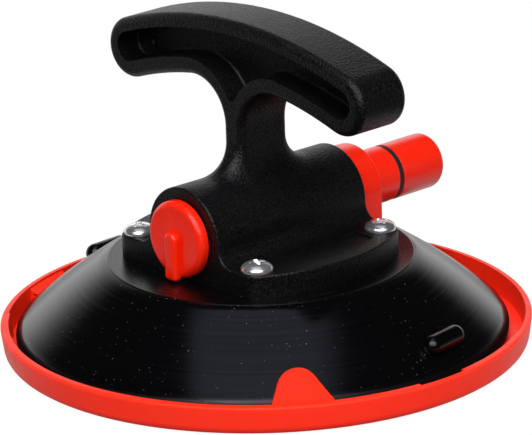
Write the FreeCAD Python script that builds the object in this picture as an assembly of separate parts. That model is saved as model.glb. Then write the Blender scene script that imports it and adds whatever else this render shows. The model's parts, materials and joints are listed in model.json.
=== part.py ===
"""Hand-pumped vacuum suction cup with a T grip, standing in its protective cover.

Millimetres, +Z up.  The origin lies on the cup's axis, in the plane that the cover stands on.
+X runs along the pump barrel towards the plunger, and the grip lies along Y.  Each function
below makes one piece and each piece is written to its own STEP file.
"""
import FreeCAD, Part
import math
import os

V = FreeCAD.Vector
X_AXIS = V(1, 0, 0)
Y_AXIS = V(0, 1, 0)
Z_AXIS = V(0, 0, 1)

# ---------------------------------------------------------------- driving dimensions
# protective cover
cover_radius = 82.5          # outside, at the top of the rim
cover_height = 9.2
cover_draft = 1.2            # the outside is this much smaller in radius at the floor
cover_rim = 2.6              # width of the rim's top face
cover_inner_draft = 0.9
cover_floor = 2.0
cover_foot_fillet = 3.0
cover_rim_fillet = 0.9
cover_shift = V(0.86, -0.78, 0)   # the cover is loose, and stands this far off the cup's axis
tongue_angle = -125.3        # pull tongue, degrees about Z
tongue_width = 18.6          # at its root
tongue_height = 10.1         # above the rim
tongue_thickness = 1.8
tongue_tip_radius = 6.5
tongue_tip_offset = -1.4     # the round tip's centre lies to one side of the root's middle
tongue_root = 3.0            # how deep it starts inside the rim
tongue_overlap = 0.3         # how far its outer face lies inside the rim's wall
tongue_lean = 1.2            # how far its tip leans inwards
thin_rim = 2.1               # the rim is this wide round the far side
thin_rim_depth = 3.5
thin_rim_start = -60.3       # degrees about Z
thin_rim_end = 133.4
notch_skin = 1.2             # finger notch: what it leaves of the rim's outer side
notch_depth = 0.8
notch_start = -98.9
notch_end = -86.5
lug_angle = 108.5            # two push-fit lugs on the rim's inner wall, half a turn apart
lug_span = 14.0              # degrees
lug_top = 6.8
lug_clearance = 1.4          # radial, from the cup's lip to the lugs on a common axis
wall_overlap = 0.5           # depth to which a lug is rooted in the wall

# rubber cup
cup_radius = 76.5
cup_disc_radius = 47.9       # flat top disc that the handle sits on
cup_top = 28.6               # height of that disc
cup_hub_underside = 15.5
cup_shoulder_radius = 75.2
cup_shoulder_height = 8.2
cup_flank_bow = 0.8          # outward bow of the flank
cup_hollow_bow = 2.4         # upward bow of the hollow under it
cup_lip_height = 5.4         # where the lip is widest
cup_lip_inner_radius = 73.5
cup_lip_tuck = 1.0           # the lip's foot is this much smaller in radius
cup_hub_radius = 42.0
cup_disc_edge = 0.8
seal_rings = (18.0, 26.0, 34.0)
seal_ring_width = 1.6
seal_ring_height = 1.0
tab_angles = (-80.6, 94.0)   # two release tabs, degrees about Z
tab_length = 16.1
tab_height = 4.9
tab_stand_off = 69.8         # distance of a tab's centre line from the cup's axis
tab_level = 14.9
gasket_depth = 1.4           # recesses for the port gaskets in the cup's top
pump_gasket_margin = 1.0     # its recess is this much wider in radius than the valve's seat
release_gasket_width = 1.2

# metal plate moulded into the cup
plate_radius = 44.0
plate_thickness = 2.5
plate_bottom = 19.6
insert_radius = 5.0          # threaded inserts standing up from the plate
insert_depth = 18.6          # level of their closed ends
insert_run_out = 0.6         # the thread goes this much deeper than the screw's tip
plate_port_clearance = 0.7

# flange screws
screw_x = 26.0
screw_y = 26.5
screw_radius = 2.5
screw_head_radius = 4.8
screw_head_height = 2.7
screw_head_rim = 0.9         # straight side of the head under its dome
screw_head_crown = 0.62      # the dome's shoulder, as a share of the head's radius
screw_slot_reach = 2.5       # cross recess
screw_slot_half = 0.55
screw_slot_depth = 1.7
screw_turns = (28, -17)      # how the recesses happen to stand, in degrees
screw_tip = 20.5
screw_hole_clearance = 0.3

# handle housing: flange
flange_top = 35.8
flange_reach = 39.4          # half width across the bowed sides
flange_edge_fillet = 0.7
label_depth = 0.4
label_start = -14.0
label_end = 19.0
label_margin = 5.2           # from the flange's bowed side
label_gap = 1.6              # from the barrel's skirt

# handle housing: barrel
barrel_end = 31.5            # half length
axis_height = 41.6           # pump axis
barrel_radius = 15.6         # at the knob's end
barrel_draft = 0.7           # the barrel is this much smaller in radius at the plunger's end
barrel_skirt_fillet = 5.0
barrel_rim_fillet = 0.6

# handle housing: T grip
grip_top = 105.0
grip_arc_radius = 154.0      # top of the grip, seen along X
grip_bar = 19.1              # height of the grip's bar
grip_reach = 56.5            # half length
grip_half_depth = 9.8        # along X
grip_shift = -0.5            # the grip's middle lies a little towards the knob
grip_edge_fillet = 2.4
stem_half_width = 4.2
stem_top_fillet = 13.5
stem_base_fillet = 11.0
pocket_wall = 4.85
pocket_rise = 0.55           # the wall under the pocket is thicker than the one above it
pocket_web = 1.2             # half of the web left between the two pockets
pocket_corner = 2.0          # rounding of the pocket's low point
pocket_floor_fillet = 1.0

# pump
stroke = 26.0
cylinder_end = -8.5          # closed end of the cylinder
piston_step = 1.4            # the bore is this much larger in radius than the plunger
liner_wall = 0.9
spigot_start = 27.0
collar_thickness = 9.3
collar_radius = 13.2         # arched outline where it meets the barrel
collar_draft = 0.4           # the outline is this much smaller at the collar's outer face
collar_edge_fillet = 0.8
collar_lift = 1.2            # gap between the collar and the cup
plunger_radius = 8.9
plunger_end = 73.0
plunger_wall = 2.0
piston_length = 7.4
piston_rest_gap = 0.6
spring_pocket_end = 48.0
spring_wire = 0.6            # radius
spring_mean_radius = 5.8
spring_turns = 11
band_position = 52.6
band_width = 1.9
band_depth = 0.7
band_sink = 0.1              # the band lies this far below the plunger's surface
wiper_start = 35.0
wiper_width = 2.2
wiper_depth = 1.6
guide_length = 15.0
bumper_thickness = 0.8
bumper_clearance = 0.15      # radial, to the plunger
plunger_end_fillet = 2.2
plunger_end_wall = 3.0
spring_step = 2.2            # width of the step inside the plunger that the spring pushes on
seal_start = 1.5             # the seal's groove, from the piston's inner end
seal_end = 4.2
seal_lip = 0.3               # thickness of the seal's outer lip
seal_heel = 0.35             # and of its inner one
seal_hollow = 1.2            # depth between the lips
retainer_slack = 0.3         # radial, to the liner
guide_foot = 0.5
guide_fillet = 1.0
guide_slack = 0.2            # radial, to the liner
spring_slack = 0.5           # radial, between the spring and its guide
pump_port_x = -6.8
port_radius = 1.5

# release valve
knob_radius = 12.3
knob_thickness = 3.5
knob_rib_width = 4.6
knob_rib_height = 2.9
knob_rib_fillet = 1.1
knob_rib_start = 0.3         # the rib's round end is centred this far above the axis
knob_edge_fillet = 1.3
plug_radius = 6.0
plug_end = -13.0
plug_bore_end = -12.5
release_port_x = -17.0
plug_seal_x = (-20.6, -28.2)
mouth_flare = 0.9            # relieved mouth of the plug's bore
mouth_depth = 0.8
plug_groove_x = -24.4        # groove that the retaining pin runs in
seal_groove_width = 2.0
seal_groove_depth = 1.4
pin_radius = 1.0
pin_clearance = 0.1          # between a pin and the bottom of the groove it runs in
pin_rise = 4.0               # how far the pins reach above the pump axis
plug_passage = 1.2           # radius of the plug's air way
vent_radius = 0.7
vent_inset = 1.4             # the vent lies this far from the plug's outer end
tang_side = 6.0
tang_length = 2.3

# check valve and filter
seat_radius = 6.0
seat_bottom = 23.0
seat_thickness = 2.2
seat_stem_hole = 1.0         # radius
seat_hole_radius = 0.55      # four air holes
seat_hole_circle = 2.0
umbrella_radius = 4.6
umbrella_height = 1.2
umbrella_stem = 0.95         # radius
umbrella_bulb = 1.35         # radius of the end that holds the stem in the seat
umbrella_bulb_height = 1.2
cup_port_radius = 2.5
pump_gasket_bore = 4.0
filter_radius = 8.0
filter_recess = 2.0
filter_thickness = 1.1
filter_slack = 0.15          # radial
filter_ring_width = 1.6
filter_bar_half = 0.6

# clearances
running = 0.05               # radial, shaft in its own bore
seat_gap = 0.3               # soft part beside a part of another body
knob_gap = 0.4
fit = 0.03                   # radial, parts pushed together by hand
weld = 1.0                   # depth to which one form of a moulding is rooted in the next

# ---------------------------------------------------------------- derived sizes
cover_foot_radius = cover_radius - cover_draft
cover_inner_radius = cover_radius - cover_rim
cover_inner_foot = cover_inner_radius - cover_inner_draft
cup_underside = cover_floor + seat_gap
insert_top = cup_top
lug_reach = cup_radius + lug_clearance
liner_bore = plunger_radius + piston_step
liner_radius = liner_bore + liner_wall
collar_end = barrel_end + collar_thickness
piston_radius = liner_bore - running
flange_boss_radius = barrel_end - screw_x
piston_start = cylinder_end + piston_rest_gap + stroke
piston_end = piston_start + piston_length
plunger_cavity = plunger_radius - plunger_wall
knob_back = -barrel_end - knob_gap
knob_front = knob_back - knob_thickness
plate_top = plate_bottom + plate_thickness
pump_gasket_radius = seat_radius + pump_gasket_margin
release_gasket_radius = port_radius + release_gasket_width


# ---------------------------------------------------------------- helpers
def turned(angle_deg, shape):
    """A copy of the shape turned about the Z axis."""
    copy = shape.copy()
    copy.rotate(V(0, 0, 0), Z_AXIS, angle_deg)
    return copy


def mirrored(shape, normal):
    return shape.mirror(V(0, 0, 0), normal)


def arc(a, b, c):
    return Part.Arc(a, b, c).toShape()


def line(a, b):
    return Part.LineSegment(a, b).toShape()


def face_of(edges):
    return Part.Face(Part.Wire(Part.__sortEdges__(edges)))


def revolved(edges):
    """A solid of revolution about Z from a closed outline in the XZ plane."""
    return face_of(edges).revolve(V(0, 0, 0), Z_AXIS, 360)


def polygon(points):
    return Part.Face(Part.makePolygon(points + points[:1]))


def rod_x(radius, x0, x1, y=0.0, z=axis_height):
    return Part.makeCylinder(radius, x1 - x0, V(x0, y, z), X_AXIS)


def rod_z(radius, z0, z1, x=0.0, y=0.0):
    return Part.makeCylinder(radius, z1 - z0, V(x, y, z0), Z_AXIS)


def ring_x(outer, inner, x0, x1):
    return rod_x(outer, x0, x1).cut(rod_x(inner, x0, x1))


def ring_z(outer, inner, z0, z1, x=0.0, y=0.0):
    return rod_z(outer, z0, z1, x, y).cut(rod_z(inner, z0, z1, x, y))


def box(x0, x1, y0, y1, z0, z1):
    return Part.makeBox(x1 - x0, y1 - y0, z1 - z0, V(x0, y0, z0))


def rounded(shape, radius, wanted):
    """Fillet the edges for which wanted(edge) is true."""
    edges = [edge for edge in shape.Edges if wanted(edge)]
    return shape.makeFillet(radius, edges)


def spans(edge):
    return edge.BoundBox


def near(a, b, tolerance=0.02):
    return abs(a - b) < tolerance


def is_level_circle(edge, radius, height):
    """True for a full horizontal circle of that radius at that height."""
    bounds = spans(edge)
    return (near(bounds.ZMin, height) and near(bounds.ZMax, height)
            and near(bounds.XMax, radius) and near(bounds.XMin, -radius))


def is_circle_across_x(edge, radius, x):
    bounds = spans(edge)
    return (near(bounds.XMin, x) and near(bounds.XMax, x)
            and near(bounds.YLength, 2 * radius, 0.05))


# ---------------------------------------------------------------- protective cover
def sector(inner, outer, z0, z1, start_deg, end_deg):
    """A block between two radii and two directions about Z."""
    ring = ring_z(outer, inner, z0, z1)
    wedge = Part.makeCylinder(outer + 1, z1 - z0, V(0, 0, z0), Z_AXIS, end_deg - start_deg)
    return ring.common(turned(start_deg, wedge))


def tangent_point(corner, centre, radius, side):
    """Where a line from the corner touches the circle, in the YZ plane."""
    way = corner - centre
    angle = math.atan2(way.z, way.y) + side * math.acos(radius / way.Length)
    return centre + V(0, math.cos(angle), math.sin(angle)) * radius


def cover_tongue():
    """Pull tongue that continues the rim's inner wall: straight sides and a round tip."""
    half = tongue_width / 2
    outer = cover_inner_radius + tongue_overlap
    root = cover_height - tongue_root
    tip = cover_height + tongue_height
    centre = V(0, tongue_tip_offset, tip - tongue_tip_radius)
    left = V(0, -half, cover_height)
    right = V(0, half, cover_height)
    left_touch = tangent_point(left, centre, tongue_tip_radius, -1)
    right_touch = tangent_point(right, centre, tongue_tip_radius, 1)
    outline = face_of([line(V(0, -half, root), left), line(left, left_touch),
                       arc(left_touch, V(0, tongue_tip_offset, tip), right_touch),
                       line(right_touch, right), line(right, V(0, half, root)),
                       line(V(0, half, root), V(0, -half, root))])
    shadow = outline.extrude(V(outer + 1, 0, 0))
    tongue = ring_z(outer, outer - tongue_thickness, root, tip).common(shadow)
    lean = math.degrees(math.atan2(tongue_lean, tongue_height))
    tongue.rotate(V(outer, 0, cover_height), Y_AXIS, -lean)
    return turned(tongue_angle, tongue)


def protective_cover():
    outline = [V(0, 0, 0), V(cover_foot_radius, 0, 0), V(cover_radius, 0, cover_height),
               V(cover_inner_radius, 0, cover_height), V(cover_inner_foot, 0, cover_floor),
               V(0, 0, cover_floor)]
    tray = polygon(outline).revolve(V(0, 0, 0), Z_AXIS, 360)
    tray = rounded(tray, cover_foot_fillet, lambda e: is_level_circle(e, cover_foot_radius, 0))
    tray = rounded(tray, cover_rim_fillet,
                   lambda e: is_level_circle(e, cover_radius, cover_height))
    above = cover_height + 1
    tray = tray.cut([sector(cover_inner_foot, cover_radius - thin_rim,
                            cover_height - thin_rim_depth, above,
                            thin_rim_start, thin_rim_end),
                     sector(cover_inner_foot, cover_radius - notch_skin,
                            cover_height - notch_depth, above, notch_start, notch_end)])
    lug = sector(lug_reach, cover_inner_foot + wall_overlap, cover_floor, lug_top,
                 lug_angle - lug_span / 2, lug_angle + lug_span / 2)
    cover = tray.fuse([lug, turned(180, lug), cover_tongue()]).removeSplitter()
    cover.translate(cover_shift)
    return cover


# ---------------------------------------------------------------- rubber cup
def release_tab():
    """Round-ended bar along the flank that a thumb pushes to break the seal."""
    radius = tab_height / 2
    straight = tab_length / 2 - radius
    centre = V(tab_stand_off, 0, tab_level)
    bar = Part.makeCylinder(radius, 2 * straight, centre - V(0, straight, 0), Y_AXIS)
    ends = [Part.makeSphere(radius, centre + V(0, side * straight, 0)) for side in (-1, 1)]
    return bar.fuse(ends)


def cup_outline():
    """Half section of the rubber: top disc, bowed flank, lip, bowed hollow and hub."""
    flank_start = V(cup_disc_radius, 0, cup_top)
    shoulder = V(cup_shoulder_radius, 0, cup_shoulder_height)
    flank_run = shoulder - flank_start
    outward = V(-flank_run.z, 0, flank_run.x).normalize()
    flank_middle = flank_start + flank_run * 0.5 + outward * cup_flank_bow
    lip_widest = V(cup_radius, 0, cup_lip_height)
    lip_foot = V(cup_radius - cup_lip_tuck, 0, cup_underside)
    lip_inner = V(cup_lip_inner_radius, 0, cup_underside)
    hub_edge = V(cup_hub_radius, 0, cup_hub_underside)
    hollow_run = hub_edge - lip_inner
    upward = V(hollow_run.z, 0, -hollow_run.x).normalize()
    hollow_middle = lip_inner + hollow_run * 0.5 + upward * cup_hollow_bow
    hub_middle = V(0, 0, cup_hub_underside)
    top_middle = V(0, 0, cup_top)
    return [arc(flank_start, flank_middle, shoulder), arc(shoulder, lip_widest, lip_foot),
            line(lip_foot, lip_inner), arc(lip_inner, hollow_middle, hub_edge),
            line(hub_edge, hub_middle), line(hub_middle, top_middle),
            line(top_middle, flank_start)]


def vacuum_cup():
    cup = rounded(revolved(cup_outline()), cup_disc_edge,
                  lambda e: is_level_circle(e, cup_disc_radius, cup_top))
    half_ring = seal_ring_width / 2
    ribs = [ring_z(radius + half_ring, radius - half_ring,
                   cup_hub_underside - seal_ring_height, cup_hub_underside)
            for radius in seal_rings]
    tab = release_tab()
    cup = cup.fuse(ribs + [turned(angle, tab) for angle in tab_angles])
    below = cup_hub_underside - 1
    gasket_seat = cup_top - gasket_depth
    return cup.cut([
        plate_body(),
        rod_z(seat_radius, seat_bottom, cup_top, pump_port_x),
        rod_z(cup_port_radius, below, cup_top, pump_port_x),
        rod_z(filter_radius, below, cup_hub_underside + filter_recess, pump_port_x),
        rod_z(pump_gasket_radius, gasket_seat, cup_top, pump_port_x),
        rod_z(port_radius, below, cup_top, release_port_x),
        rod_z(release_gasket_radius, gasket_seat, cup_top, release_port_x)])


def screw_places():
    return [(sx * screw_x, sy * screw_y) for sx in (-1, 1) for sy in (-1, 1)]


def plate_body():
    """The plate with its inserts, before the threads' holes: what the rubber is cast round."""
    plate = rod_z(plate_radius, plate_bottom, plate_top)
    for x, y in screw_places():
        plate = plate.fuse(rod_z(insert_radius, insert_depth, insert_top, x, y))
    return plate.removeSplitter()


def mounting_plate():
    plate = plate_body()
    for x, y in screw_places():
        plate = plate.cut(rod_z(screw_radius + fit, screw_tip - insert_run_out, insert_top, x, y))
    plate = plate.cut(rod_z(seat_radius, plate_bottom, plate_top, pump_port_x))
    return plate.cut(rod_z(port_radius + plate_port_clearance, plate_bottom, plate_top,
                           release_port_x))


def screw_head():
    """Pan head with a cross recess."""
    top = flange_top + screw_head_height
    crown = V(0, 0, top)
    shoulder = V(screw_head_radius * screw_head_crown, 0, top - screw_head_height / 7)
    edge = V(screw_head_radius, 0, flange_top + screw_head_rim)
    foot = V(screw_head_radius, 0, flange_top)
    middle = V(0, 0, flange_top)
    head = revolved([arc(crown, shoulder, edge), line(edge, foot), line(foot, middle),
                     line(middle, crown)])
    slot = box(-screw_slot_reach, screw_slot_reach, -screw_slot_half, screw_slot_half,
               top - screw_slot_depth, top + 1)
    return head.cut([slot, turned(90, slot)])


def flange_screws():
    """The same screw in each corner boss."""
    screw = screw_head().fuse(rod_z(screw_radius, screw_tip, flange_top))
    screws = []
    for x, y in screw_places():
        copy = turned(screw_turns[0] if x * y > 0 else screw_turns[1], screw)
        copy.translate(V(x, y, 0))
        screws.append(copy)
    return Part.makeCompound(screws)


# ---------------------------------------------------------------- handle housing
def flange():
    """Plate with four corner bosses and bowed sides."""
    inner_reach = flange_reach - flange_boss_radius
    drop = ((screw_x ** 2 + screw_y ** 2 - inner_reach ** 2)
            / (2 * (inner_reach - screw_y)))
    side_radius = flange_reach + drop
    tangent = math.atan2(screw_y + drop, screw_x)

    def on_boss(sx, sy, angle):
        return V(sx * (screw_x + flange_boss_radius * math.cos(angle)),
                 sy * (screw_y + flange_boss_radius * math.sin(angle)), cup_top)

    edges = []
    for sx in (-1, 1):
        edges.append(line(on_boss(sx, -1, 0), on_boss(sx, 1, 0)))
        for sy in (-1, 1):
            edges.append(arc(on_boss(sx, sy, 0), on_boss(sx, sy, tangent / 2),
                             on_boss(sx, sy, tangent)))
    for sy in (-1, 1):
        edges.append(arc(on_boss(-1, sy, tangent), V(0, sy * flange_reach, cup_top),
                         on_boss(1, sy, tangent)))
    plate = face_of(edges).extrude(V(0, 0, flange_top - cup_top))
    plate = rounded(plate, flange_edge_fillet,
                    lambda e: near(spans(e).ZMin, flange_top))
    label = label_recess(side_radius - label_margin, drop)
    return plate.cut(label)


def label_recess(outer_radius, drop):
    """Shallow bare panel on the flange, bounded by the bowed side."""
    def on_side(x):
        return V(x, drop - math.sqrt(outer_radius ** 2 - x ** 2), flange_top - label_depth)

    inner_y = -(barrel_radius + barrel_skirt_fillet + label_gap)
    start = on_side(label_start)
    end = on_side(label_end)
    inner_start = V(label_start, inner_y, start.z)
    inner_end = V(label_end, inner_y, start.z)
    middle = on_side((label_start + label_end) / 2)
    return face_of([arc(start, middle, end), line(end, inner_end),
                    line(inner_end, inner_start),
                    line(inner_start, start)]).extrude(V(0, 0, 2 * label_depth))


def arched_wire(x, radius, low):
    """Outline that is half round above the pump axis, with straight sides down to a level."""
    left = V(x, radius, axis_height)
    right = V(x, -radius, axis_height)
    low_left = V(x, radius, low)
    low_right = V(x, -radius, low)
    edges = [arc(left, V(x, 0, axis_height + radius), right), line(right, low_right),
             line(low_right, low_left), line(low_left, left)]
    return Part.Wire(Part.__sortEdges__(edges))


def barrel():
    """Arched barrel with moulding draft, and the two skirts that blend it into the flange."""
    far_radius = barrel_radius - barrel_draft
    near_wire = arched_wire(-barrel_end, barrel_radius, cup_top)
    far_wire = arched_wire(barrel_end, far_radius, cup_top)
    body = Part.makeLoft([near_wire, far_wire], True, True)
    for side in (1, -1):
        body = body.fuse(Part.makeLoft([skirt_wire(-barrel_end, barrel_radius, side),
                                        skirt_wire(barrel_end, far_radius, side)],
                                       True, True))
    return rounded(body.removeSplitter(), barrel_rim_fillet,
                   lambda e: spans(e).XLength < 0.01 and spans(e).ZMax > flange_top + 0.01)


def skirt_wire(x, radius, side):
    """Concave corner between the barrel's straight side and the flange's top."""
    inner = radius - weld
    outer = radius + barrel_skirt_fillet
    slack = barrel_skirt_fillet * (1 - math.sqrt(0.5))
    top = flange_top + barrel_skirt_fillet
    corner_top = V(x, side * inner, top)
    bend_top = V(x, side * radius, top)
    bend_middle = V(x, side * (radius + slack), flange_top + slack)
    bend_low = V(x, side * outer, flange_top)
    corner_out = V(x, side * outer, cup_top)
    corner_in = V(x, side * inner, cup_top)
    edges = [line(corner_top, bend_top), arc(bend_top, bend_middle, bend_low),
             line(bend_low, corner_out), line(corner_out, corner_in),
             line(corner_in, corner_top)]
    return Part.Wire(Part.__sortEdges__(edges))


def grip_points(inset=0.0):
    """Named points of the T grip's outline for the +Y side, in the YZ plane.

    With an inset the same outline is drawn that far inside the grip's own one, and the stem
    is replaced by the rounded point at which the two fillets meet.
    """
    centre = grip_top - grip_arc_radius
    top_radius = grip_arc_radius - inset
    low_radius = grip_arc_radius - grip_bar + inset
    end_radius = grip_bar / 2 - inset
    fillet = stem_top_fillet + inset
    sweep = math.asin((grip_reach - grip_bar / 2) / (grip_arc_radius - grip_bar / 2))

    def on_arc(radius, angle):
        return V(0, radius * math.sin(angle), centre + radius * math.cos(angle))

    end_centre = on_arc(grip_arc_radius - grip_bar / 2, sweep)
    fillet_y = stem_half_width + stem_top_fillet
    fillet_reach = grip_arc_radius - grip_bar - stem_top_fillet
    fillet_z = centre + math.sqrt(fillet_reach ** 2 - fillet_y ** 2)
    fillet_angle = math.asin(fillet_y / fillet_reach)
    fillet_centre = V(0, fillet_y, fillet_z)
    toward_bar = V(0, math.sin(fillet_angle), math.cos(fillet_angle))
    toward_stem = V(0, -1, 0)
    point_z = fillet_z + math.sqrt((fillet + pocket_corner) ** 2 - fillet_y ** 2) \
        if inset > 0 else 0.0
    if inset > 0:
        toward_stem = (V(0, 0, point_z) - fillet_centre).normalize()
    halfway = (toward_stem + toward_bar).normalize()
    return {
        "top_middle": on_arc(top_radius, 0),
        "top_end": on_arc(top_radius, sweep),
        "tip": end_centre + V(0, math.cos(sweep), -math.sin(sweep)) * end_radius,
        "low_end": on_arc(low_radius, sweep),
        "low_middle": on_arc(low_radius, (sweep + fillet_angle) / 2),
        "fillet_start": on_arc(low_radius, fillet_angle),
        "fillet_middle": fillet_centre + halfway * fillet,
        "fillet_end": fillet_centre + toward_stem * fillet,
        "stem_foot": V(0, stem_half_width, axis_height),
        "point": V(0, 0, point_z - pocket_corner),
    }


def grip_face(inset=0.0):
    """The closed T outline, or with an inset the outline of the pocket inside it."""
    right = grip_points(inset)
    left = {name: V(0, -p.y, p.z) for name, p in right.items()}
    edges = [arc(left["top_end"], right["top_middle"], right["top_end"])]
    for p in (left, right):
        edges += [arc(p["top_end"], p["tip"], p["low_end"]),
                  arc(p["low_end"], p["low_middle"], p["fillet_start"]),
                  arc(p["fillet_start"], p["fillet_middle"], p["fillet_end"])]
    if inset > 0:
        edges.append(arc(left["fillet_end"], right["point"], right["fillet_end"]))
    else:
        edges += [line(left["fillet_end"], left["stem_foot"]),
                  line(right["fillet_end"], right["stem_foot"]),
                  line(left["stem_foot"], right["stem_foot"])]
    return face_of(edges)


def grip_pocket():
    """The hollow in one face of the grip, following the outline."""
    hollow = grip_face(pocket_wall).extrude(V(grip_half_depth, 0, 0))
    hollow.translate(V(pocket_web, 0, pocket_rise))
    return rounded(hollow, pocket_floor_fillet, lambda e: near(spans(e).XMax, pocket_web))


def t_grip():
    face = grip_face()
    bar = face.extrude(V(2 * grip_half_depth, 0, 0))
    bar.translate(V(-grip_half_depth, 0, 0))
    foot = axis_height + weld
    bar = rounded(bar, grip_edge_fillet,
                  lambda e: spans(e).XLength < 0.01 and spans(e).ZMax > foot)
    pocket = grip_pocket()
    grip = bar.cut([pocket, mirrored(pocket, X_AXIS)])
    grip.translate(V(grip_shift, 0, 0))
    return grip


def handle_housing():
    base = barrel()
    grip = t_grip()
    upper = base.fuse(grip)
    top_of_barrel = axis_height + barrel_radius
    lowest = top_of_barrel - barrel_radius / 4

    def joins_stem(edge):
        b = spans(edge)
        inside = (b.XMin > grip_shift - grip_half_depth - 0.1
                  and b.XMax < grip_shift + grip_half_depth + 0.1
                  and b.YMin > -stem_half_width - 0.1 and b.YMax < stem_half_width + 0.1)
        return inside and b.ZMax < top_of_barrel + 0.1 and b.ZMin > lowest

    upper = rounded(upper, stem_base_fillet, joins_stem)
    housing = upper.fuse(flange()).removeSplitter()
    # pump bore, release-plug bore with its relieved mouth, and their ports
    housing = housing.cut(rod_x(liner_radius + fit, cylinder_end, barrel_end + 1))
    housing = housing.cut(rod_x(plug_radius + running, -barrel_end - 1, plug_bore_end))
    mouth = Part.makeCone(plug_radius + mouth_flare, plug_radius + running, mouth_depth,
                          V(-barrel_end, 0, axis_height), X_AXIS)
    housing = housing.cut(mouth)
    for x in (pump_port_x, release_port_x):
        housing = housing.cut(rod_z(port_radius, cup_top - 1, axis_height - 1, x))
    for x, y in screw_places():
        housing = housing.cut(rod_z(screw_radius + screw_hole_clearance,
                                    cup_top - 1, flange_top + 1, x, y))
    for pin in pin_bodies(fit):
        housing = housing.cut(pin)
    return housing


# ---------------------------------------------------------------- pump
def pin_bodies(extra=0.0):
    """Two dowels pushed up from the flange's underside: they hold the plug and the collar."""
    plug_pin_y = plug_radius + pin_clearance
    collar_pin_y = liner_radius + pin_clearance
    collar_pin_x = (spigot_start + barrel_end) / 2
    top = axis_height + pin_rise
    return [rod_z(pin_radius + extra, cup_top - extra, top + extra, plug_groove_x, plug_pin_y),
            rod_z(pin_radius + extra, cup_top - extra, top + extra, collar_pin_x, collar_pin_y)]


def retaining_pins():
    return Part.makeCompound(pin_bodies())


def cylinder_liner():
    liner = ring_x(liner_radius, liner_bore, cylinder_end, spigot_start)
    return liner.cut(rod_z(port_radius, cup_top, axis_height, pump_port_x))


def end_collar():
    """Arched cap on the barrel's end, with a spigot that guides the plunger."""
    low = cup_top + collar_lift
    inner_wire = arched_wire(barrel_end, collar_radius, low)
    outer_wire = arched_wire(collar_end, collar_radius - collar_draft, low)
    cap = Part.makeLoft([inner_wire, outer_wire], True, True)
    cap = rounded(cap, collar_edge_fillet, lambda e: near(spans(e).XMin, collar_end))
    collar = cap.fuse(rod_x(liner_radius, spigot_start, barrel_end))
    collar = collar.cut(rod_x(plunger_radius + running, spigot_start - 1, collar_end + 1))
    collar = collar.cut(rod_x(plunger_radius + wiper_depth, wiper_start,
                              wiper_start + wiper_width))
    for pin in pin_bodies(fit):
        collar = collar.cut(pin)
    return collar


def wiper_ring():
    return ring_x(plunger_radius + wiper_depth - fit, plunger_radius + running,
                  wiper_start + fit, wiper_start + wiper_width - fit)


def stop_bumper():
    start = spigot_start - bumper_thickness
    return ring_x(liner_bore - fit, plunger_radius + bumper_clearance, start, spigot_start)


def plunger():
    """Hollow red plunger: closed outer end, and a stepped inner end that carries the seal."""
    body = rod_x(plunger_radius, piston_start, plunger_end)
    body = rounded(body, plunger_end_fillet,
                   lambda e: is_circle_across_x(e, plunger_radius, plunger_end))
    body = body.fuse(rod_x(piston_radius, piston_start + seal_end, piston_end))
    body = body.cut(rod_x(plunger_cavity, piston_start - 1, spring_pocket_end))
    body = body.cut(rod_x(plunger_cavity - spring_step, spring_pocket_end,
                          plunger_end - plunger_end_wall))
    return body.cut(ring_x(plunger_radius + 1, plunger_radius - band_depth, band_position,
                           band_position + band_width))


def indicator_band():
    return ring_x(plunger_radius - band_sink, plunger_radius - band_depth + fit,
                  band_position + fit, band_position + band_width - fit)


def piston_seal():
    """Cup-shaped lip seal: its open side faces the cylinder's closed end."""
    start = piston_start + seal_start
    inner = plunger_radius + fit
    ring = ring_x(piston_radius, inner, start, piston_start + seal_end)
    return ring.cut(ring_x(piston_radius - seal_lip, inner + seal_heel, start - 1,
                           start + seal_hollow))


def seal_retainer():
    return ring_x(piston_radius - retainer_slack, plunger_radius + fit, piston_start,
                  piston_start + seal_start - fit)


def spring_guide():
    """Peg on the cylinder's closed end that keeps the spring straight."""
    foot = rod_x(liner_bore - guide_slack, cylinder_end, cylinder_end + guide_foot)
    radius = spring_mean_radius - spring_wire - spring_slack
    peg_end = cylinder_end + guide_length
    peg = rod_x(radius, cylinder_end, peg_end)
    peg = rounded(peg, guide_fillet, lambda e: is_circle_across_x(e, radius, peg_end))
    return foot.fuse(peg).cut(rod_z(port_radius, cup_top, axis_height - radius - pin_clearance,
                                    pump_port_x))


def return_spring():
    """Compression spring from the guide's foot to the step inside the plunger."""
    start = cylinder_end + guide_foot + spring_wire + fit
    length = spring_pocket_end - spring_wire - fit - start
    helix = Part.makeHelix(length / spring_turns, length, spring_mean_radius)
    wire = Part.Wire([Part.makeCircle(spring_wire, V(spring_mean_radius, 0, 0), Y_AXIS)])
    coil = Part.Wire(helix.Edges).makePipeShell([wire], True, True)
    coil.rotate(V(0, 0, 0), Y_AXIS, 90)
    coil.translate(V(start, 0, axis_height))
    return coil


# ---------------------------------------------------------------- release valve
def valve_plug():
    """Rotary plug: its side port meets the cup's port after a quarter turn."""
    plug = rod_x(plug_radius, knob_back, plug_end)
    half = seal_groove_width / 2
    for x in plug_seal_x:
        plug = plug.cut(ring_x(plug_radius + 1, plug_radius - seal_groove_depth,
                               x - half, x + half))
    plug = plug.cut(ring_x(plug_radius + 1, plug_radius - pin_radius, plug_groove_x - half - fit,
                           plug_groove_x + half + fit))
    half = tang_side / 2
    tang = box(knob_back - tang_length, knob_back, -half, half,
               axis_height - half, axis_height + half)
    plug = plug.fuse(tang)
    vent_x = knob_back + vent_inset
    passage = rod_x(plug_passage, vent_x, release_port_x)
    side_port = Part.makeCylinder(plug_passage, plug_radius + 1,
                                  V(release_port_x, 0, axis_height), Y_AXIS)
    vent = Part.makeCylinder(vent_radius, plug_radius + 1, V(vent_x, 0, axis_height), Y_AXIS)
    return plug.cut([passage, side_port, vent])


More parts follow.
